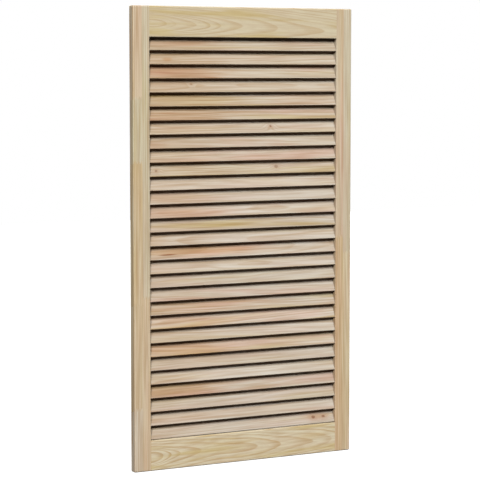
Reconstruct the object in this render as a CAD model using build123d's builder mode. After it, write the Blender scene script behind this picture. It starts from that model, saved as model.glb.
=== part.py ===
from build123d import *
from math import cos, radians, sin
import os

os.makedirs("parts", exist_ok=True)

# Louvred wardrobe door leaf in solid pine: two stiles, two rails and a ladder of fixed slats.
# X runs across the front from the hinge edge, Y from the front face to the back face, Z is up.
# The origin is the middle of the hinge edge, so the leaf spans half its height above and below it.
# All sizes are in millimetres.

# Leaf
door_height = 1100.0
door_width = 594.0
door_thickness = 21.0

# Frame
stile_width = 43.0
top_rail_height = 73.0
bottom_rail_height = 73.0
outer_arris_radius = 3.0
rail_arris_radius = 2.0
stile_front_arris = 1.5
stile_back_arris = 0.5

# Slats, each with its lower edge at the front and its upper edge at the back
nominal_slat_pitch = 33.0
slat_thickness = 5.5
slat_edge_radius = 1.0
slat_lean = 22.5
slat_front_recess = 2.2
slat_back_recess = 1.0
slat_rail_gap = 0.8

# Housings that hold the slat ends in the stiles
housing_depth = 10.0
housing_clearance = 0.4
slat_end_clearance = 0.5

# Dowels that join the rails to the stiles
dowel_diameter = 8.0
dowel_length = 60.0
dowel_spacing = 38.0
dowel_clearance = 0.1
dowel_end_clearance = 0.5

# Opening between the rails and the stiles
half_thickness = door_thickness / 2
opening_top = door_height / 2 - top_rail_height
opening_bottom = bottom_rail_height - door_height / 2
opening_height = opening_top - opening_bottom
opening_width = door_width - 2 * stile_width
left_inner_face = stile_width
right_inner_face = door_width - stile_width
door_middle = door_width / 2

# Slat section: a flat bar with eased edges, leaning back until it fills the leaf between its two recesses
lean_sine = sin(radians(slat_lean))
lean_cosine = cos(radians(slat_lean))
flat_thickness = slat_thickness - 2 * slat_edge_radius
slat_reach = door_thickness - slat_front_recess - slat_back_recess - 2 * slat_edge_radius
flat_depth = (slat_reach - flat_thickness * lean_cosine) / lean_sine
slat_depth = flat_depth + 2 * slat_edge_radius
slat_rise = flat_depth * lean_cosine + flat_thickness * lean_sine + 2 * slat_edge_radius
slat_offset = (slat_front_recess - slat_back_recess) / 2

# Slat heights: one pitch is the same from the bottom rail to the edge of the top rail
slat_count = round(opening_height / nominal_slat_pitch)
slat_pitch = opening_height / slat_count
lowest_slat_height = opening_bottom + slat_rail_gap + slat_rise / 2
slat_heights = [lowest_slat_height + slat_pitch * step for step in range(slat_count)]
slat_length = opening_width + 2 * (housing_depth - slat_end_clearance)

# Rebate behind the top rail's lower edge, which takes the upper edge of the top slat
top_slat_height = slat_heights[-1]
top_slat_peak = top_slat_height + slat_rise / 2
rebate_height = top_slat_peak + slat_rail_gap - opening_top
face_offset = slat_thickness / 2 + housing_clearance
climb_to_rail = opening_top - top_slat_height
rebate_front = slat_offset + (climb_to_rail * lean_sine - face_offset) / lean_cosine

# Dowel places on the two rails
top_rail_middle = door_height / 2 - top_rail_height / 2
bottom_rail_middle = bottom_rail_height / 2 - door_height / 2
dowel_heights = {
    "top_upper": top_rail_middle + dowel_spacing / 2,
    "top_lower": top_rail_middle - dowel_spacing / 2,
    "bottom_upper": bottom_rail_middle + dowel_spacing / 2,
    "bottom_lower": bottom_rail_middle - dowel_spacing / 2,
}
dowel_bore_radius = dowel_diameter / 2 + dowel_clearance
dowel_bore_depth = dowel_length / 2 + dowel_end_clearance


# Slat section, and the square-cornered housing cut for it
with BuildSketch() as slat_section:
    RectangleRounded(slat_thickness, slat_depth, slat_edge_radius, rotation=-slat_lean)

with BuildSketch() as housing_section:
    Rectangle(
        slat_thickness + 2 * housing_clearance,
        slat_depth + 2 * housing_clearance,
        rotation=-slat_lean,
    )


def make_stile(outer_edge, inner_face, inward):
    """One upright, with a leaning housing for each slat end and bores for the rail dowels.

    inward is +1 where the opening lies towards +X and -1 where it lies towards -X.
    """
    with BuildPart() as stile:
        with Locations(((outer_edge + inner_face) / 2, 0, 0)):
            Box(stile_width, door_thickness, door_height)
        outer_face = stile.faces().sort_by(Axis.X)[0 if inward > 0 else -1]
        fillet(outer_face.edges() + stile.edges().filter_by(Axis.X), radius=outer_arris_radius)

        # Eased inner arrises, stopped at the rails so that the joints close flush
        with BuildSketch(Plane.XY.offset(opening_bottom)):
            for face, arris in ((-1, stile_front_arris), (1, stile_back_arris)):
                with Locations((inner_face, face * half_thickness)):
                    Rectangle(2 * arris, 2 * arris)
                with Locations((inner_face - inward * arris, face * (half_thickness - arris))):
                    Circle(arris, mode=Mode.SUBTRACT)
        extrude(amount=opening_height, mode=Mode.SUBTRACT)

        # Slat housings
        with BuildSketch(Plane.YZ.offset(inner_face)):
            with Locations(*[(slat_offset, height) for height in slat_heights]):
                add(housing_section.sketch)
        extrude(amount=-inward * housing_depth, mode=Mode.SUBTRACT)

        # Dowel bores
        with BuildSketch(Plane.YZ.offset(inner_face)):
            with Locations(*[(0, height) for height in dowel_heights.values()]):
                Circle(dowel_bore_radius)
        extrude(amount=-inward * dowel_bore_depth, mode=Mode.SUBTRACT)
    return stile


def make_rail(middle_height, rail_height, outward, rebated):
    """One rail between the stiles, with its outer and inner arrises eased and its dowel bores.

    outward is +1 on the top rail and -1 on the bottom rail.
    """
    outer_height = middle_height + outward * rail_height / 2
    inner_height = middle_height - outward * rail_height / 2
    with BuildPart() as rail:
        with Locations((door_middle, 0, middle_height)):
            Box(opening_width, door_thickness, rail_height)
        long_edges = rail.edges().filter_by(Axis.X)
        outer_edges = long_edges.filter_by_position(Axis.Z, outer_height - 1, outer_height + 1)
        inner_edges = long_edges.filter_by_position(Axis.Z, inner_height - 1, inner_height + 1)
        fillet(outer_edges, radius=outer_arris_radius)
        if rebated:
            fillet(inner_edges.sort_by(Axis.Y)[0], radius=rail_arris_radius)
            with BuildSketch(Plane.YZ.offset(left_inner_face)):
                with Locations((rebate_front, inner_height)):
                    Rectangle(door_thickness, rebate_height, align=(Align.MIN, Align.MIN))
            extrude(amount=opening_width, mode=Mode.SUBTRACT)
        else:
            fillet(inner_edges, radius=rail_arris_radius)

        # Dowel bores in both ends
        bore_heights = [middle_height - dowel_spacing / 2, middle_height + dowel_spacing / 2]
        for end_face, into_rail in ((left_inner_face, 1), (right_inner_face, -1)):
            with BuildSketch(Plane.YZ.offset(end_face)):
                with Locations(*[(0, height) for height in bore_heights]):
                    Circle(dowel_bore_radius)
            extrude(amount=into_rail * dowel_bore_depth, mode=Mode.SUBTRACT)
    return rail


def make_slat(height):
    """One slat, long enough to end inside its two housings."""
    with BuildPart() as slat:
        with BuildSketch(Plane.YZ.offset(door_middle)):
            with Locations((slat_offset, height)):
                add(slat_section.sketch)
        extrude(amount=slat_length / 2, both=True)
    return slat


def make_dowel(joint_face, height):
    """One beech dowel, centred on the face where a rail meets a stile."""
    with BuildPart() as dowel:
        with BuildSketch(Plane.YZ.offset(joint_face)):
            with Locations((0, height)):
                Circle(dowel_diameter / 2)
        extrude(amount=dowel_length / 2, both=True)
    return dowel


def save(piece, name):
    """Label a finished piece and write it under its own name."""
    piece.part.label = name
    export_step(piece.part, f"parts/{name}.step")


# Frame
save(make_stile(0, left_inner_face, 1), "left_stile")
save(make_stile(door_width, right_inner_face, -1), "right_stile")
save(make_rail(top_rail_middle, top_rail_height, 1, True), "top_rail")
save(make_rail(bottom_rail_middle, bottom_rail_height, -1, False), "bottom_rail")

# Slats, numbered from the top of the door
for number, height in enumerate(reversed(slat_heights), start=1):
    save(make_slat(height), f"slat_{number:02d}")

# Dowels
for side, joint_face in (("left", left_inner_face), ("right", right_inner_face)):
    for place, height in dowel_heights.items():
        save(make_dowel(joint_face, height), f"dowel_{side}_{place}")

print(f"{slat_count} slats at {slat_pitch:.2f} mm, each {slat_depth:.2f} by {slat_thickness:.2f} mm")
print(f"each slat rises {slat_rise:.2f} mm, rebate {rebate_height:.2f} mm high from y {rebate_front:.2f}")
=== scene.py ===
# %% [markdown]
# # A louvred wardrobe door in raw pine
# The door is a frame of two stiles and two rails with 29 fixed slats between them. The CAD frame already
# holds every piece at its real size, so this script gives each board its own wood, lights the door softly
# and looks at it from the left, as the photograph does.

import math
import random

import bpy
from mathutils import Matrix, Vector


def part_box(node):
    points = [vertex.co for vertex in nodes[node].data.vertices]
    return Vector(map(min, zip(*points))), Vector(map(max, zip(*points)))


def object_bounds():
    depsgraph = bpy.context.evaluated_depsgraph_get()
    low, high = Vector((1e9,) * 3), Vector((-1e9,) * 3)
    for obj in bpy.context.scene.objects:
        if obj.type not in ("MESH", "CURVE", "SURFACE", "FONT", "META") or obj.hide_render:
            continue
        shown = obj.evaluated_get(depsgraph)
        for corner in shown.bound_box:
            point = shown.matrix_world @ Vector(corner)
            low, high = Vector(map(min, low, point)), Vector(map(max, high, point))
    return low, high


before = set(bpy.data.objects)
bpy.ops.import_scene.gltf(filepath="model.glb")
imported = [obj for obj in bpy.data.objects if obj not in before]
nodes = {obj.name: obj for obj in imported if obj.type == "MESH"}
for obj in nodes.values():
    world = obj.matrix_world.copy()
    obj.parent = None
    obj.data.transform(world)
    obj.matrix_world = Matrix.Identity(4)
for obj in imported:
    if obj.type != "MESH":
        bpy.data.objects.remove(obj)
cad_low, cad_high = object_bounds()
bpy.ops.object.select_all(action="DESELECT")
print("door", [round(size, 4) for size in cad_high - cad_low], "with", len(nodes), "pieces")

# %% [markdown]
# The door stands on its lower edge. The camera is placed from the door itself: so far to the left of the
# hinge edge, so far in front of the face and so high above the floor. The real picture was taken level with a
# shifted lens. Here the camera is tipped down a little instead, because other views keep a lens shift.

# %% Camera
FLOOR = cad_low.z
DOOR_MIDDLE = (cad_low + cad_high) / 2
CAMERA_LEFT_OF_EDGE = 1.8835
CAMERA_BEFORE_FACE = 4.0613
CAMERA_HEIGHT = 0.9473
CAMERA_TURN = math.radians(28.069)
CAMERA_TIP = math.radians(5.032)
CAMERA_LENS = 143.69
CAMERA_SENSOR = 36
CAMERA_REACH = 50

bpy.ops.object.camera_add(
    location=(cad_low.x - CAMERA_LEFT_OF_EDGE, cad_low.y - CAMERA_BEFORE_FACE, FLOOR + CAMERA_HEIGHT),
    rotation=(math.pi / 2 - CAMERA_TIP, 0, -CAMERA_TURN),
)
camera = bpy.context.object
camera.name = "camera"
camera.data.lens = CAMERA_LENS
camera.data.sensor_width = CAMERA_SENSOR
camera.data.clip_end = CAMERA_REACH
bpy.context.scene.camera = camera
print("camera", round((camera.location - DOOR_MIDDLE).length, 2), "m from the middle of the door")


# %% [markdown]
# Each material below is a small net of nodes. A few helpers keep the nets short: one adds any node and feeds
# its sockets with numbers or with other nodes' outputs, and the rest add one sum, vector or noise with it.

# %% Node helpers
def feed(tree, socket, value):
    """Fill a socket with another node's output, or else with a plain value."""
    if isinstance(value, bpy.types.NodeSocket):
        tree.links.new(value, socket)
    else:
        socket.default_value = value


def put(tree, kind, inputs=None, **settings):
    """Add one node, set its properties and feed its sockets."""
    node = tree.nodes.new(kind)
    for key, value in settings.items():
        setattr(node, key, value)
    for key, value in (inputs or {}).items():
        feed(tree, node.inputs[key], value)
    return node


def maths(tree, operation, first, second=0.0, third=0.0):
    """One Math node; returns its output."""
    return put(tree, "ShaderNodeMath", {0: first, 1: second, 2: third}, operation=operation).outputs[0]


def vectors(tree, operation, first, second):
    """One Vector Math node; returns its vector."""
    return put(tree, "ShaderNodeVectorMath", {0: first, 1: second}, operation=operation).outputs[0]


def stretch(tree, vector, scale, offset=(0, 0, 0)):
    """A vector multiplied axis by axis, then moved."""
    inputs = {0: vector, 1: scale, 2: offset}
    return put(tree, "ShaderNodeVectorMath", inputs, operation="MULTIPLY_ADD").outputs[0]


def length(tree, vector):
    """A vector's length."""
    return put(tree, "ShaderNodeVectorMath", {0: vector}, operation="LENGTH").outputs["Value"]


# %% Pattern helpers
def step(tree, value, low, high, to_low=0.0, to_high=1.0):
    """A smooth change from one level to another while value goes from low to high."""
    inputs = {"Value": value, "From Min": low, "From Max": high, "To Min": to_low, "To Max": to_high}
    return put(tree, "ShaderNodeMapRange", inputs, interpolation_type="SMOOTHSTEP").outputs["Result"]


def noise(tree, vector, detail=2.0, roughness=0.5):
    """A noise texture read at scale 1, so that the vector alone sets its size."""
    inputs = {"Vector": vector, "Scale": 1.0, "Detail": detail, "Roughness": roughness}
    return put(tree, "ShaderNodeTexNoise", inputs)


# %% [markdown]
# An effect that many boards share could be built again in every material. As a node group it is built once,
# and each board's material places it with that board's own values.

# %% Node groups
NUMBER = "NodeSocketFloat"
VECTOR = "NodeSocketVector"


def start_group(name, inputs, outputs):
    """An empty node group; returns its tree, the outputs that it is given and the inputs of its result."""
    group = bpy.data.node_groups.new(name, "ShaderNodeTree")
    for title, kind in inputs:
        group.interface.new_socket(title, in_out="INPUT", socket_type=kind)
    for title, kind in outputs:
        group.interface.new_socket(title, in_out="OUTPUT", socket_type=kind)
    entry = group.nodes.new("NodeGroupInput")
    leave = group.nodes.new("NodeGroupOutput")
    return group, entry.outputs, leave.inputs


# %% [markdown]
# Pine shows its growth rings: wide pale bands of spring wood, each ending in a narrow darker band of summer
# wood with a sharp outer edge. Stripes on each face could stand for them, but they wouldn't meet at the
# corners. Here the rings are cylinders round the heart of the tree, so one solid pattern gives straight lines
# on a quarter-sawn face, arches on a flat-sawn one and arcs on the end grain. The coordinates have X along
# the grain and their zero on the tree's heart. Noise is given in waves to the metre, along the grain and
# across it.

# %% Growth rings
TRUNK_WAVES = (2.6, 5.0, 5.0)
RIPPLE_WAVES = (14, 90, 90)
RIPPLE = 0.0012
CROWDING_WAVES = 0.23
CROWDING = 3.0
SUMMER_BEGINS = 0.38
SUMMER_IS_FULL = 0.9
SUMMER_STOPS = 0.93
FAINTEST_RING = 0.35

rings, given, result = start_group(
    "growth_rings",
    [("Vector", VECTOR), ("Spacing", NUMBER), ("Wander", NUMBER), ("Push", NUMBER)],
    [("Summer wood", NUMBER)],
)
slow = noise(rings, stretch(rings, given["Vector"], TRUNK_WAVES), detail=1.5)
sway = stretch(rings, slow.outputs["Color"], (0, 2, 2), (0, -1, -1))
sway = put(rings, "ShaderNodeVectorMath", {0: sway, "Scale": given["Wander"]}, operation="SCALE").outputs[0]
across = stretch(rings, given["Vector"], (0, 1, 1))
radius = length(rings, vectors(rings, "ADD", across, sway))
ripple = noise(rings, stretch(rings, given["Vector"], RIPPLE_WAVES)).outputs["Fac"]
radius = maths(rings, "MULTIPLY_ADD", ripple, RIPPLE, radius)
radius = maths(rings, "ADD", radius, given["Push"])

# Good and bad years crowd the rings or spread them
count = maths(rings, "DIVIDE", radius, given["Spacing"])
years = {"W": count, "Scale": CROWDING_WAVES, "Detail": 1.0}
crowding = put(rings, "ShaderNodeTexNoise", years, noise_dimensions="1D").outputs["Fac"]
count = maths(rings, "MULTIPLY_ADD", crowding, CROWDING, count)

# Each year's summer wood comes in slowly, stops sharply and has a strength of its own
phase = maths(rings, "FRACT", count)
rise = step(rings, phase, SUMMER_BEGINS, SUMMER_IS_FULL)
fall = step(rings, phase, SUMMER_STOPS, 1.0, 1.0, 0.0)
year = put(rings, "ShaderNodeTexWhiteNoise", {"W": maths(rings, "FLOOR", count)}, noise_dimensions="1D")
strength = maths(rings, "MULTIPLY_ADD", year.outputs["Value"], 1 - FAINTEST_RING, FAINTEST_RING)
band = maths(rings, "MULTIPLY", maths(rings, "MULTIPLY", rise, fall), strength)
rings.links.new(band, result["Summer wood"])
print(rings.name, "has", len(rings.nodes), "nodes")

# %% [markdown]
# Between the rings the eye sees fine fibres and short resin flecks. They are far finer than the faces of a
# mesh, so both are noise pulled out along the grain, only at different lengths.

# %% Fibres and flecks
HAIR_WAVES = (28, 1500, 1500)
FLECK_WAVES = (55, 800, 800)
FLECK_PLACE = (3, 7, 1)
FLECK_LEVELS = (0.66, 0.78)

fibres, given, result = start_group(
    "wood_fibres", [("Vector", VECTOR)], [("Fibre", NUMBER), ("Fleck", NUMBER)]
)
hair = noise(fibres, stretch(fibres, given["Vector"], HAIR_WAVES), detail=3, roughness=0.6)
fleck = noise(fibres, stretch(fibres, given["Vector"], FLECK_WAVES, FLECK_PLACE), detail=1)
fibres.links.new(hair.outputs["Fac"], result["Fibre"])
fibres.links.new(step(fibres, fleck.outputs["Fac"], *FLECK_LEVELS), result["Fleck"])
print(fibres.name, "has", len(fibres.nodes), "nodes")

# %% [markdown]
# Raw wood also drifts slowly in colour, pinker in one place and more yellow in another, with finer streaks of
# darker wood. Each drift has its waves, the place where its noise is read, so that no two fall together, its
# detail, and the two levels of noise between which it comes in.

# %% Colour drift
DRIFTS = {
    "Blush": ((4.0, 38, 38), (11, 2, 5), 2, (0.42, 0.7)),
    "Streak": ((7.0, 210, 210), (1, 9, 4), 3, (0.3, 0.72)),
    "Honey": ((3.0, 55, 55), (6, 5, 17), 2, (0.45, 0.72)),
}
drift, given, result = start_group(
    "colour_drift", [("Vector", VECTOR)], [(title, NUMBER) for title in DRIFTS]
)
for title, (waves, place, detail, levels) in DRIFTS.items():
    cloud = noise(drift, stretch(drift, given["Vector"], waves, place), detail=detail)
    drift.links.new(step(drift, cloud.outputs["Fac"], *levels), result[title])
print(drift.name, "has", len(drift.nodes), "nodes")

# %% [markdown]
# A branch that ran through the board leaves a knot, and the rings part round it. A dark disc let into the
# board wouldn't bend them. The group measures the distance to the branch's line, which goes through the board
# from front to back, and gives three things: the dark heart, the warmer wood round it, and how far to push
# the rings.

# %% Knots
KNOT_OVAL = (0.62, 0, 1)
RAGGED_WAVES = (260, 260, 260)
HEART_RIM = (0.55, 1.0)
HALO_RIM = (0.8, 3.4)

knot, given, result = start_group(
    "branch_knot",
    [("Vector", VECTOR), ("Centre", VECTOR), ("Radius", NUMBER), ("Reach", NUMBER), ("Lift", NUMBER)],
    [("Heart", NUMBER), ("Halo", NUMBER), ("Push", NUMBER)],
)
away = vectors(knot, "SUBTRACT", given["Vector"], given["Centre"])
distance = length(knot, stretch(knot, away, KNOT_OVAL))
ragged = noise(knot, stretch(knot, given["Vector"], RAGGED_WAVES)).outputs["Fac"]
ragged = maths(knot, "MULTIPLY", maths(knot, "SUBTRACT", ragged, 0.5), given["Radius"])
near = maths(knot, "DIVIDE", maths(knot, "ADD", distance, ragged), given["Radius"])
knot.links.new(step(knot, near, *HEART_RIM, 1.0, 0.0), result["Heart"])
knot.links.new(step(knot, near, *HALO_RIM, 1.0, 0.0), result["Halo"])
far = maths(knot, "DIVIDE", distance, given["Reach"])
bell = maths(knot, "EXPONENT", maths(knot, "MULTIPLY", maths(knot, "MULTIPLY", far, far), -1.0))
knot.links.new(maths(knot, "MULTIPLY", bell, given["Lift"]), result["Push"])
print(knot.name, "has", len(knot.nodes), "nodes")

# %% [markdown]
# Door stiles are glued up from staves: two side by side, each made of short lengths with finger joints where
# the pattern changes abruptly along a zigzag line. Each stave could be a piece of its own, but its glue line
# is under 0.2 mm wide and flush with the face, so the material draws it. The group marks one stave, a
# rectangle on the board with toothed ends, and the glue line round it.

# %% Staves
FINGER_PITCH = 0.0038
FINGER_LENGTH = 0.010
FINGER_SHIFT = 1.0
GLUE_LINE = 0.00018

stave, given, result = start_group(
    "glued_stave",
    [("Vector", VECTOR), ("Low", NUMBER), ("High", NUMBER), ("Near", NUMBER), ("Far", NUMBER)],
    [("Stave", NUMBER), ("Glue line", NUMBER)],
)
axes = put(stave, "ShaderNodeSeparateXYZ", {0: given["Vector"]})
shifted = maths(stave, "ADD", axes.outputs["Z"], FINGER_SHIFT)
tooth = maths(stave, "PINGPONG", shifted, FINGER_PITCH / 2)
along = maths(stave, "MULTIPLY_ADD", tooth, 2 * FINGER_LENGTH / FINGER_PITCH, axes.outputs["X"])
from_low = maths(stave, "SUBTRACT", along, given["Low"])
from_high = maths(stave, "SUBTRACT", given["High"], along)
from_near = maths(stave, "SUBTRACT", axes.outputs["Z"], given["Near"])
from_far = maths(stave, "SUBTRACT", given["Far"], axes.outputs["Z"])
inside = maths(stave, "MINIMUM", from_low, from_high)
inside = maths(stave, "MINIMUM", inside, from_near)
inside = maths(stave, "MINIMUM", inside, from_far)
stave.links.new(maths(stave, "GREATER_THAN", inside, 0.0), result["Stave"])
stave.links.new(step(stave, maths(stave, "ABSOLUTE", inside), 0.0, GLUE_LINE, 1.0, 0.0), result["Glue line"])
print(stave.name, "has", len(stave.nodes), "nodes")

# %% [markdown]
# Raw pine is seldom one colour from end to end. A patch could be painted on the mesh by hand. As an oval in
# the board's own coordinates, drawn out along the grain and frayed at its rim, it can be moved by a number.

# %% Patches
FRAY_WAVES = (9, 330, 330)
FRAY = 1.1
PATCH_RIM = (0.85, 1.75)

patch, given, result = start_group(
    "tone_patch",
    [("Vector", VECTOR), ("Centre", VECTOR), ("Shrink", VECTOR)],
    [("Patch", NUMBER)],
)
away = vectors(patch, "SUBTRACT", given["Vector"], given["Centre"])
reach = length(patch, vectors(patch, "MULTIPLY", away, given["Shrink"]))
fray = noise(patch, stretch(patch, given["Vector"], FRAY_WAVES)).outputs["Fac"]
reach = maths(patch, "MULTIPLY_ADD", fray, FRAY, reach)
patch.links.new(step(patch, reach, *PATCH_RIM, 1.0, 0.0), result["Patch"])
print(patch.name, "has", len(patch.nodes), "nodes")

# %% [markdown]
# Where a board is cut across, the open ends of the fibres drink in the light, so the end grain is darker than
# the faces. The ends could have a material of their own, but then each end's faces would have to be picked
# out. The group compares the surface's direction with the grain's instead: 1 is a square cut.

# %% End grain
CUT_ACROSS = (0.7, 0.95)

ends, given, result = start_group(
    "end_grain", [("Normal", VECTOR), ("Grain", VECTOR)], [("End", NUMBER)]
)
directions = {0: given["Normal"], 1: given["Grain"]}
facing = put(ends, "ShaderNodeVectorMath", directions, operation="DOT_PRODUCT").outputs["Value"]
ends.links.new(step(ends, maths(ends, "ABSOLUTE", facing), *CUT_ACROSS), result["End"])
print(ends.name, "has", len(ends.nodes), "nodes")


# %% [markdown]
# The colours of pine are written as screen levels, from 0 to 255, and turned into the light values that a
# shader wants. Each pattern is then laid over the last colour like a wash.

# %% Wood colours
def light(red, green, blue):
    """A screen colour as the light value that a shader wants."""
    def linear(level):
        level = level / 255
        return level / 12.92 if level <= 0.04045 else ((level + 0.055) / 1.055) ** 2.4
    return (linear(red), linear(green), linear(blue), 1.0)


SPRING = light(222, 203, 176)
SUMMER = light(196, 160, 118)
PINK = light(218, 180, 152)
HONEY = light(210, 183, 132)
KNOT_HEART = light(140, 92, 62)
KNOT_HALO = light(190, 148, 112)
RESIN = light(168, 128, 88)
END_GRAIN = light(176, 150, 118)
print("spring wood", [round(level, 3) for level in SPRING[:3]])


# %% Washes
def blend(tree, amount, first, second, mode="MIX"):
    """Two colours mixed by amount; returns the colour."""
    inputs = {0: amount, 6: first, 7: second}
    return put(tree, "ShaderNodeMix", inputs, data_type="RGBA", blend_type=mode).outputs[2]


def wash(tree, mask, amount, under, over, mode="MIX"):
    """The colour over laid on the colour under, as strongly as mask times amount."""
    return blend(tree, maths(tree, "MULTIPLY", mask, amount), under, over, mode)


def fill(tree, group, inputs):
    """A placed group with its inputs filled."""
    return put(tree, "ShaderNodeGroup", inputs, node_tree=group)


# %% [markdown]
# The patterns need the board's own coordinates, in metres from its middle, with X along the grain. From
# there knots add up, and each stave of a glued board is thrown to another place in the tree, which makes its
# pattern change at the joints. Sine and cosine spread the staves round the heart, by a turn in radians for
# each.

# %% Board coordinates, knots and staves
STAVE_THROW = 3.7
FIRST_THROW = 1.3
STAVE_DEPTH = 0.009
STAVE_HEIGHT = 0.016
DEPTH_TURN = 5.0
HEIGHT_TURN = 3.0


def along_the_grain(tree, spot, centre, grain_up):
    """Coordinates from the board's middle, with X along its grain."""
    board = vectors(tree, "SUBTRACT", spot.outputs["Object"], centre)
    if not grain_up:
        return board
    axes = put(tree, "ShaderNodeSeparateXYZ", {0: board})
    swapped = {"X": axes.outputs["Z"], "Y": axes.outputs["Y"], "Z": axes.outputs["X"]}
    return put(tree, "ShaderNodeCombineXYZ", swapped).outputs[0]


def add_knots(tree, board, knots):
    """All knots of a board; returns how far they push the rings, and masks of their hearts and halos."""
    push, hearts, halos = 0.0, 0.0, 0.0
    for along, across, radius, reach, lift, darkness in knots:
        size = {"Radius": radius, "Reach": reach, "Lift": lift}
        one = fill(tree, knot, {"Vector": board, "Centre": (along, 0, across), **size})
        push = maths(tree, "ADD", push, one.outputs["Push"])
        hearts = maths(tree, "MULTIPLY_ADD", one.outputs["Heart"], darkness, hearts)
        halos = maths(tree, "MULTIPLY_ADD", one.outputs["Halo"], darkness, halos)
    return push, hearts, halos


def add_staves(tree, board, wood, staves):
    """Throws each stave elsewhere in the tree; returns the new coordinates, the glue and the tinted masks."""
    glue = 0.0
    tinted = []
    for number, (low, high, near, far, tint) in enumerate(staves):
        one = fill(tree, stave, {"Vector": board, "Low": low, "High": high, "Near": near, "Far": far})
        elsewhere = (
            STAVE_THROW * number + FIRST_THROW,
            STAVE_DEPTH * math.sin(DEPTH_TURN * number),
            STAVE_HEIGHT * math.cos(HEIGHT_TURN * number),
        )
        throw = {0: one.outputs["Stave"], 1: elsewhere, 2: wood}
        wood = put(tree, "ShaderNodeVectorMath", throw, operation="MULTIPLY_ADD").outputs[0]
        glue = maths(tree, "MAXIMUM", glue, one.outputs["Glue line"])
        tinted.append((one.outputs["Stave"], tint))
    return wood, glue, tinted


# %% [markdown]
# Clear wood is a stack of washes: summer wood on spring wood, then pink, honey, streaks, fibres and flecks.
# The tone of a board says how strong the first four are.

# %% Clear wood
FIBRE_AMOUNT = 0.14
FLECK_AMOUNT = 0.22


def clear_wood(tree, wood, summer, hairs, tone):
    """The colour of wood with no knot, joint or patch."""
    pink, honey, ring_strength, streak_strength = tone
    drifts = fill(tree, drift, {"Vector": wood}).outputs
    colour = wash(tree, summer, ring_strength, SPRING, SUMMER)
    colour = wash(tree, drifts["Blush"], pink, colour, PINK)
    colour = wash(tree, drifts["Honey"], honey, colour, HONEY)
    colour = wash(tree, drifts["Streak"], streak_strength, colour, SUMMER, "MULTIPLY")
    colour = wash(tree, hairs["Fibre"], FIBRE_AMOUNT, colour, RESIN)
    return wash(tree, hairs["Fleck"], FLECK_AMOUNT, colour, RESIN)


# %% [markdown]
# Raw pine has hardly any shine. Its summer wood is a little smoother than the rest and stands a little
# higher, which a bump shows well enough at this size. Light that has already gone from board to board counts
# for little: it finds the wood's colour darkened to a dim brown, a painted shade that keeps the gaps between
# the slats as deep and dark as they look on a real door.

# %% Surface
DEEP_SHADE = (0.16, 0.1, 0.06, 1)
ROUGHNESS = 0.72
SUMMER_SMOOTHER = 0.12
SHINE = 0.04
FIBRE_RELIEF = 0.5
RELIEF_STRENGTH = 0.35
RELIEF_DEPTH = 0.0002


def surface(tree, shader, colour, summer, fibre):
    """Leads the colour, the roughness and the relief of the grain to the shader."""
    # Bounced light sees the colour multiplied by DEEP_SHADE: painted shade that darkens the gaps between the
    # slats.
    path = put(tree, "ShaderNodeLightPath")
    shade = blend(tree, 1.0, colour, DEEP_SHADE, "MULTIPLY")
    colour = blend(tree, path.outputs["Is Diffuse Ray"], colour, shade)
    feed(tree, shader.inputs["Base Color"], colour)
    feed(tree, shader.inputs["Roughness"], maths(tree, "MULTIPLY_ADD", summer, -SUMMER_SMOOTHER, ROUGHNESS))
    feed(tree, shader.inputs["Specular IOR Level"], SHINE)
    height = maths(tree, "MULTIPLY_ADD", fibre, FIBRE_RELIEF, summer)
    relief = {"Height": height, "Strength": RELIEF_STRENGTH, "Distance": RELIEF_DEPTH}
    feed(tree, shader.inputs["Normal"], put(tree, "ShaderNodeBump", relief).outputs[0])


# %% [markdown]
# One function builds a board's material from all this. Each board gets its own place in the tree, ring
# spacing, slope of grain and tone, so that no two boards are alike.

# %% Pine
HALO_AMOUNT = 0.5
HEART_AMOUNT = 0.85
GLUE_AMOUNT = 0.35
END_AMOUNT = 0.6


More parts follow.
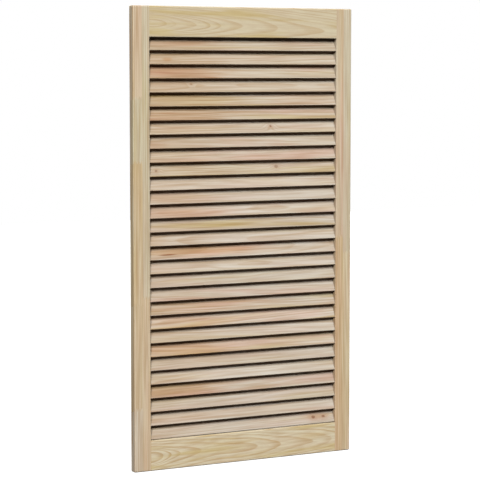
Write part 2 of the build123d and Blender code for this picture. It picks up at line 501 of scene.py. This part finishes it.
def pine(name, centre, grain_up, heart, turn, spacing, wander, tone, tint_and_shade,
         knots=(), staves=(), patches=(), seed=0.0):
    """A raw pine material for one board.

    centre is the board's middle; grain_up says that its grain runs up and not across. heart is the tree's
    heart measured from the board's middle, as depth and height across the grain. turn is the slope of the
    grain on the face and into it. tone is (pink, honey, ring strength, streak strength); the argument after
    it is a tint multiplied over the whole board, which on the upper slats also paints shade. Knots are
    (along, across, radius, reach, lift, darkness), staves (low, high, near, far, tint) and patches (along,
    across, half length, half width, tint, amount), all from the board's middle.
    """
    material = bpy.data.materials.new(name)
    material.use_nodes = True
    tree = material.node_tree
    spot = tree.nodes.new("ShaderNodeTexCoord")
    board = along_the_grain(tree, spot, centre, grain_up)
    push, hearts, halos = add_knots(tree, board, knots)
    mapping = put(tree, "ShaderNodeMapping", {
        "Vector": board,
        "Location": (seed, -heart[0], -heart[1]),
        "Rotation": (0, turn[0], turn[1]),
    })
    wood, glue, tinted = add_staves(tree, board, mapping.outputs[0], staves)

    growth = fill(tree, rings, {"Vector": wood, "Spacing": spacing, "Wander": wander, "Push": push})
    summer = growth.outputs["Summer wood"]
    hairs = fill(tree, fibres, {"Vector": wood}).outputs
    colour = clear_wood(tree, wood, summer, hairs, tone)
    if knots:
        colour = wash(tree, halos, HALO_AMOUNT, colour, KNOT_HALO)
        colour = wash(tree, hearts, HEART_AMOUNT, colour, KNOT_HEART)
    for mask, tint in tinted:
        colour = blend(tree, mask, colour, (*tint, 1), "MULTIPLY")
    for along, across, half_length, half_width, tint, amount in patches:
        shrink = (1 / half_length, 0, 1 / half_width)
        soft = fill(tree, patch, {"Vector": board, "Centre": (along, 0, across), "Shrink": shrink})
        colour = wash(tree, soft.outputs["Patch"], amount, colour, (*tint, 1), "MULTIPLY")
    if staves:
        colour = wash(tree, glue, GLUE_AMOUNT, colour, RESIN)
    # The board's tint over everything; on the upper slats it also paints shade.
    colour = blend(tree, 1.0, colour, (*tint_and_shade, 1), "MULTIPLY")
    grain = (0, 0, 1) if grain_up else (1, 0, 0)
    end = fill(tree, ends, {"Normal": spot.outputs["Normal"], "Grain": grain})
    colour = wash(tree, end.outputs["End"], END_AMOUNT, colour, END_GRAIN)
    surface(tree, tree.nodes["Principled BSDF"], colour, summer, hairs["Fibre"])
    return material


# %% Dressing a board
def dress(node_name, material):
    """Give a CAD node its board's material."""
    node = nodes[node_name]
    node.data.materials.clear()
    node.data.materials.append(material)
    print(node_name, "wears", material.name)


def middle(node_name):
    """The middle of a CAD node."""
    low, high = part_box(node_name)
    return (Vector(low) + Vector(high)) / 2


# %% [markdown]
# The stiles show narrow upright lines, because they are sawn nearly through the tree's heart. Each is glued
# up from an outer and an inner row of staves that meet at a seam, and the joints of the two rows are at
# different heights. One stave low on the right is clearly more orange and more striped than the rest.

# %% Stiles
PAST_EDGE = 0.03
PAST_END = 0.56
LEFT_SEAM = 0.002
RIGHT_SEAM = -0.001

dress("left_stile", pine(
    "left_stile_pine", middle("left_stile"), True, heart=(0.012, -0.075), turn=(0.004, 0.006),
    spacing=0.0034, wander=0.004, tone=(0.35, 0.45, 1.2, 0.4), tint_and_shade=(1.07, 1.16, 1.215), seed=0.13,
    staves=[
        (0.34, PAST_END, -PAST_EDGE, LEFT_SEAM, (1.0, 0.97, 0.94)),
        (0.19, 0.34, -PAST_EDGE, LEFT_SEAM, (0.97, 1.03, 1.06)),
        (-0.145, 0.19, -PAST_EDGE, LEFT_SEAM, (0.99, 0.96, 0.88)),
        (-0.395, -0.145, -PAST_EDGE, LEFT_SEAM, (0.99, 0.96, 0.90)),
        (-PAST_END, -0.395, -PAST_EDGE, LEFT_SEAM, (0.99, 0.99, 1.04)),
        (-0.13, PAST_END, LEFT_SEAM, PAST_EDGE, (0.95, 1.0, 1.0)),
        (-PAST_END, -0.13, LEFT_SEAM, PAST_EDGE, (1.02, 0.98, 0.95)),
    ],
))
dress("right_stile", pine(
    "right_stile_pine", middle("right_stile"), True, heart=(-0.015, 0.08), turn=(-0.005, 0.004),
    spacing=0.0032, wander=0.005, tone=(0.45, 0.35, 1.2, 0.4), tint_and_shade=(1.09, 1.19, 1.25), seed=0.31,
    staves=[
        (-0.005, PAST_END, -PAST_EDGE, RIGHT_SEAM, (1.0, 0.995, 0.99)),
        (-PAST_END, -0.005, -PAST_EDGE, RIGHT_SEAM, (0.98, 0.91, 0.80)),
        (-0.045, PAST_END, RIGHT_SEAM, PAST_EDGE, (0.96, 1.02, 1.05)),
        (-PAST_END, -0.045, RIGHT_SEAM, PAST_EDGE, (1.01, 1.01, 0.98)),
    ],
    patches=[(0.27, -0.004, 0.3, 0.006, (1.0, 0.9, 0.94), 0.9)],
))

# %% [markdown]
# Both rails are flat-sawn and yellower than the slats. Their heart runs away from the face, so the rings draw
# pointed arches on it. A branch that passed nearby bends the lines at the left end, without showing itself.

# %% Rails
dress("top_rail", pine(
    "top_rail_pine", middle("top_rail"), False, heart=(0.016, -0.012), turn=(-0.03, -0.07),
    spacing=0.0042, wander=0.014, tone=(0.1, 0.8, 0.6, 0.2), tint_and_shade=(1.015, 1.1, 1.075),
    knots=[(-0.24, -0.012, 0.004, 0.03, -0.006, 0.0)], seed=0.7,
))
dress("bottom_rail", pine(
    "bottom_rail_pine", middle("bottom_rail"), False, heart=(0.026, 0.002), turn=(0.01, -0.085),
    spacing=0.0046, wander=0.016, tone=(0.2, 0.8, 0.95, 0.35), tint_and_shade=(1.13, 1.25, 1.26),
    knots=[(-0.25, 0.0, 0.005, 0.025, -0.006, 0.0)], seed=1.9,
    patches=[
        (-0.02, 0.012, 0.06, 0.006, (0.93, 0.84, 0.68), 0.7),
        (0.19, 0.01, 0.05, 0.01, (0.94, 0.84, 0.68), 0.6),
    ],
))

# %% [markdown]
# Slats are ripped from many different boards, so each is a little pinker, paler or more honey-coloured than
# its neighbours. Chance could choose among the four tones, but the photograph shows them, so the list gives
# each slat its own, from the top of the door down.

# %% Slat tones
PALE = (0.3, 0.35, 0.5, 0.4)
PINKISH = (0.75, 0.3, 0.5, 0.45)
STRAW = (0.25, 0.85, 0.6, 0.45)
WARM = (0.8, 0.75, 0.65, 0.5)
SLAT_TONES = [
    PINKISH, PALE, PINKISH, PALE, STRAW, WARM, PALE, PINKISH, PINKISH, STRAW,
    PALE, PALE, PINKISH, STRAW, PALE, PINKISH, PALE, PALE, PINKISH, WARM,
    WARM, PALE, WARM, PALE, PALE, WARM, PALE, PALE, PALE,
]

# %% [markdown]
# A few slats have small knots, and many have a warmer or browner stretch. All are a little warmer at their
# left end, and more so in the upper third of the door.

# %% Slat knots and patches
ORANGE = (0.96, 0.79, 0.65)
ROSE = (0.94, 0.81, 0.74)
OLIVE = (0.92, 0.86, 0.66)
UMBER = (0.5, 0.3, 0.2)
SLAT_KNOTS = {
    4: [(-0.141, 0.004, 0.0014, 0.006, 0.004, 0.8)],
    7: [(0.073, 0.001, 0.0026, 0.01, 0.006, 0.9)],
    10: [
        (-0.235, -0.002, 0.0026, 0.008, 0.006, 0.7),
        (0.089, 0.001, 0.0045, 0.01, 0.006, 0.6),
    ],
    29: [(0.196, 0.0, 0.0042, 0.012, 0.008, 0.8), (0.225, 0.0, 0.0036, 0.01, 0.007, 0.8)],
}
SLAT_PATCHES = {
    1: [(-0.02, -0.008, 0.2, 0.003, OLIVE, 0.6)],
    2: [(-0.205, -0.004, 0.014, 0.006, ORANGE, 0.8)],
    3: [(-0.16, 0.0, 0.14, 0.03, ROSE, 0.9)],
    5: [(-0.14, 0.0, 0.16, 0.03, OLIVE, 0.7), (0.17, 0.0, 0.1, 0.03, ROSE, 0.6)],
    6: [(-0.17, 0.0, 0.16, 0.03, ORANGE, 0.5), (-0.2, 0.002, 0.03, 0.0016, ROSE, 0.9)],
    9: [(0.1, 0.0, 0.14, 0.03, ROSE, 0.25)],
    10: [(-0.1, 0.0, 0.2, 0.03, OLIVE, 0.5)],
    12: [(-0.17, 0.0, 0.12, 0.03, ROSE, 0.6)],
    13: [(-0.15, 0.0, 0.14, 0.03, ROSE, 0.7)],
    14: [(-0.05, -0.004, 0.09, 0.004, OLIVE, 0.8), (0.0, 0.006, 0.06, 0.002, OLIVE, 0.8)],
    15: [(-0.24, 0.0, 0.04, 0.03, ORANGE, 0.3)],
    16: [(-0.13, 0.006, 0.26, 0.016, ORANGE, 1.0), (-0.206, -0.0045, 0.028, 0.0019, UMBER, 1.0)],
    20: [(-0.1, 0.0, 0.2, 0.03, ORANGE, 0.4)],
    21: [(-0.16, 0.0, 0.16, 0.03, ORANGE, 0.4)],
    23: [(-0.18, 0.0, 0.16, 0.03, ORANGE, 0.8)],
    26: [(-0.18, 0.0, 0.13, 0.03, ORANGE, 0.55)],
    29: [(0.205, 0.002, 0.05, 0.014, ROSE, 0.9)],
}
UPPER_LEFT_END = (-0.26, 0.0, 0.24, 0.06, (0.90, 0.82, 0.73), 0.9)
LEFT_END = (-0.26, 0.0, 0.2, 0.06, (0.95, 0.90, 0.85), 0.9)

# %% [markdown]
# Random numbers with a fixed seed choose each slat's place in the tree, its ring spacing and how light it is,
# so that each run gives the same door. Down the first ten slats the tint goes from a darker, browner one to a
# paler one: painted shade that lies over the upper part of the door.

# %% Slats
UPPER_SLATS = 10
SLAT_WANDER = 0.008
TOP_TINT_AND_SHADE = (0.81, 0.875, 0.94)
LOWER_STAIN = (0.88, 0.99, 1.165)
HEART_DEPTH = (0.02, 0.06)
HEART_HEIGHT = (-0.03, 0.03)
FACE_SLOPE = (-0.03, 0.03)
DEPTH_SLOPE = (-0.02, 0.02)
RING_SPACING = (0.0028, 0.0046)
LIGHTNESS = (0.95, 1.04)
ALONG_THE_TREE = (0, 50)

chance = random.Random(29)
for number, tone in enumerate(SLAT_TONES, start=1):
    name = f"slat_{number:02d}"
    heart = (chance.uniform(*HEART_DEPTH) * chance.choice((-1, 1)), chance.uniform(*HEART_HEIGHT))
    turn = (chance.uniform(*FACE_SLOPE), chance.uniform(*DEPTH_SLOPE))
    spacing = chance.uniform(*RING_SPACING)
    level = chance.uniform(*LIGHTNESS)
    lower = min(1, number / UPPER_SLATS)
    # Towards the top of the door the tint turns darker and browner: painted shade over the upper slats.
    tint_and_shade = [level * (top + (low - top) * lower) for top, low in zip(TOP_TINT_AND_SHADE, LOWER_STAIN)]
    left_end = UPPER_LEFT_END if number < UPPER_SLATS else LEFT_END
    dress(name, pine(
        f"{name}_pine", middle(name), False, heart, turn, spacing, SLAT_WANDER, tone, tint_and_shade,
        knots=SLAT_KNOTS.get(number, ()), patches=[left_end, *SLAT_PATCHES.get(number, ())],
        seed=chance.uniform(*ALONG_THE_TREE),
    ))

# %% [markdown]
# The dowels are hidden in the joints, but they still have a finish: plain beech rod.

# %% Dowels
for name in nodes:
    if name.startswith("dowel"):
        dress(name, pine(
            f"{name}_beech", middle(name), False, heart=(0.0, 0.09), turn=(0, 0),
            spacing=0.002, wander=0.002, tone=(0.6, 0.1, 0.3, 0.1), tint_and_shade=(1, 1, 1),
        ))


# %% [markdown]
# A pale floor carries the door and keeps its soft shadow. It should look white in the picture but throw no
# light up into the louvres. Stronger lamps would whiten the floor and bleach the wood as well, so the camera
# sees a glowing white floor and the wood a nearly black one.

# %% Floor
FLOOR_SIZE = 14
FLOOR_GLOW = 0.84
FLOOR_SHOWN = (0.4, 0.4, 0.4, 1)
FLOOR_HIDDEN = (0.04, 0.038, 0.035, 1)
WHITE = (1, 1, 1, 1)


def seen(tree):
    """1 where the camera, a reflection or glass looks, and 0 where a surface gathers its light."""
    path = put(tree, "ShaderNodeLightPath")
    direct = maths(tree, "MAXIMUM", path.outputs["Is Camera Ray"], path.outputs["Is Glossy Ray"])
    return maths(tree, "MAXIMUM", direct, path.outputs["Is Transmission Ray"])


bpy.ops.mesh.primitive_plane_add(size=1, location=(0, 0, 0))
floor = bpy.context.object
floor.name = "floor"
bpy.ops.object.mode_set(mode="EDIT")
bpy.ops.mesh.select_all(action="SELECT")
bpy.ops.transform.resize(value=(FLOOR_SIZE, FLOOR_SIZE, 1))
bpy.ops.transform.translate(value=(DOOR_MIDDLE.x, 0, FLOOR))
bpy.ops.object.mode_set(mode="OBJECT")

floor_paint = bpy.data.materials.new("pale_floor")
floor_paint.use_nodes = True
tree = floor_paint.node_tree
tree.nodes.clear()
pale = put(tree, "ShaderNodeBsdfDiffuse", {"Color": FLOOR_SHOWN})
glow = put(tree, "ShaderNodeEmission", {"Color": WHITE, "Strength": FLOOR_GLOW})
shown = put(tree, "ShaderNodeAddShader", {0: pale.outputs[0], 1: glow.outputs[0]})
dark = put(tree, "ShaderNodeBsdfDiffuse", {"Color": FLOOR_HIDDEN})
either = put(tree, "ShaderNodeMixShader", {0: seen(tree), 1: dark.outputs[0], 2: shown.outputs[0]})
put(tree, "ShaderNodeOutputMaterial", {"Surface": either.outputs[0]})
floor.data.materials.append(floor_paint)
print("floor", round(floor.dimensions.x, 2), "m wide at", round(FLOOR, 3))

# %% [markdown]
# The world does the same as the floor: it is white where the camera or a reflection looks, and gives the wood
# no light at all, so that the lamps alone shape the door.

# %% World
WORLD_LIGHT = 0.0
WORLD_SHOWN = 1.0

world = bpy.data.worlds.new("studio")
bpy.context.scene.world = world
world.use_nodes = True
tree = world.node_tree
tree.nodes.clear()
dim = put(tree, "ShaderNodeBackground", {"Color": WHITE, "Strength": WORLD_LIGHT})
white = put(tree, "ShaderNodeBackground", {"Color": WHITE, "Strength": WORLD_SHOWN})
either = put(tree, "ShaderNodeMixShader", {0: seen(tree), 1: dim.outputs[0], 2: white.outputs[0]})
put(tree, "ShaderNodeOutputWorld", {"Surface": either.outputs[0]})
print(world.name, "world gives the wood", WORLD_LIGHT, "of its light")


# %% [markdown]
# The louvres are only dark in their gaps when the light comes from above: it then lands on each slat's face
# up to the shadow of the slat above. Two soft lamps stand high in front and far off, so that they light the
# top and the bottom of the door alike. The stronger one on the left also reaches the side edge, and the
# weaker one fills in from the right. A third stands behind the door and lights its back.

# %% Lamps
LAMP_DISTANCE = 20.0


def lamp(name, bearing, elevation, width, height, power):
    """A broad soft lamp, aimed at the door's middle. bearing is to the right of straight in front."""
    turn, rise = math.radians(bearing), math.radians(elevation)
    away = Vector((math.sin(turn) * math.cos(rise), -math.cos(turn) * math.cos(rise), math.sin(rise)))
    bpy.ops.object.light_add(type="AREA", location=DOOR_MIDDLE + away * LAMP_DISTANCE)
    made = bpy.context.object
    made.name = name
    made.rotation_euler = away.to_track_quat("Z", "Y").to_euler()
    made.data.shape = "RECTANGLE"
    made.data.size = width
    made.data.size_y = height
    made.data.energy = power
    print(name, "gives", power, "W from", [round(place, 1) for place in made.location])


lamp("left_lamp", bearing=-40, elevation=39.0, width=5.0, height=9.0, power=3570)
lamp("right_lamp", bearing=14, elevation=45.7, width=5.0, height=9.0, power=2100)
lamp("back_lamp", bearing=148, elevation=30, width=9.0, height=9.0, power=3400)

# %% [markdown]
# The Standard view shows colours as they are written, so white stays white and the wood keeps its tones.

# %% Finish
bpy.context.scene.view_settings.view_transform = "Standard"
